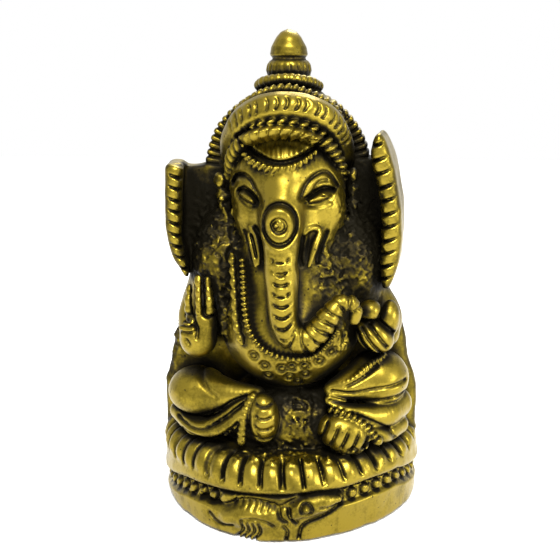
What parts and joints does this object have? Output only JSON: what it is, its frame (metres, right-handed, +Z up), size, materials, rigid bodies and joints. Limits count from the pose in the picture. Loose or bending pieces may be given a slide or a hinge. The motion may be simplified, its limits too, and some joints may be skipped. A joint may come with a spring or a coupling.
{
  "type": "ganesha idol",
  "caption": "Seated elephant-headed devotional figure in aged brass on a lotus seat and oval plinth, with crown, raised hand, sweet and a mouse in relief.",
  "frame": {"origin": "middle of the plinth's flat underside", "axes": "+Z up, the figure faces -Y, its own right hand is on -X"},
  "size_m": [0.043, 0.0356, 0.076],
  "materials": {
    "aged_brass": "hand-finished casting, polished on the high parts, dark patina in the recesses"
  },
  "bodies": {
    "root": {"anklet_left": "aged_brass", "anklet_right": "aged_brass", "back_slab": "aged_brass", "bead_band": "aged_brass", "belly_discs": "aged_brass", "brow_fan": "aged_brass", "brow_rope": "aged_brass", "crown_band": "aged_brass", "crown_beads": "aged_brass", "crown_dome": "aged_brass", "crown_halo": "aged_brass", "crown_rope": "aged_brass", "ear_left": "aged_brass", "ear_right": "aged_brass", "eye_left": "aged_brass", "eye_right": "aged_brass", "finial_collar": "aged_brass", "finial_tip": "aged_brass", "foot_left": "aged_brass", "foot_right": "aged_brass", "forearm_left": "aged_brass", "forearm_right": "aged_brass", "garland": "aged_brass", "hand_left": "aged_brass", "hand_right": "aged_brass", "head": "aged_brass", "hem_left": "aged_brass", "hem_right": "aged_brass", "leaf_strand": "aged_brass", "leg_left": "aged_brass", "leg_right": "aged_brass", "lotus_cushion": "aged_brass", "lotus_petals": "aged_brass", "modak": "aged_brass", "mouse": "aged_brass", "plinth": "aged_brass", "seat_ground": "aged_brass", "shoulder_left": "aged_brass", "shoulder_right": "aged_brass", "torso": "aged_brass", "trunk": "aged_brass", "trunk_boss": "aged_brass", "tusk_left": "aged_brass", "tusk_right": "aged_brass"}
  },
  "joints": []
}
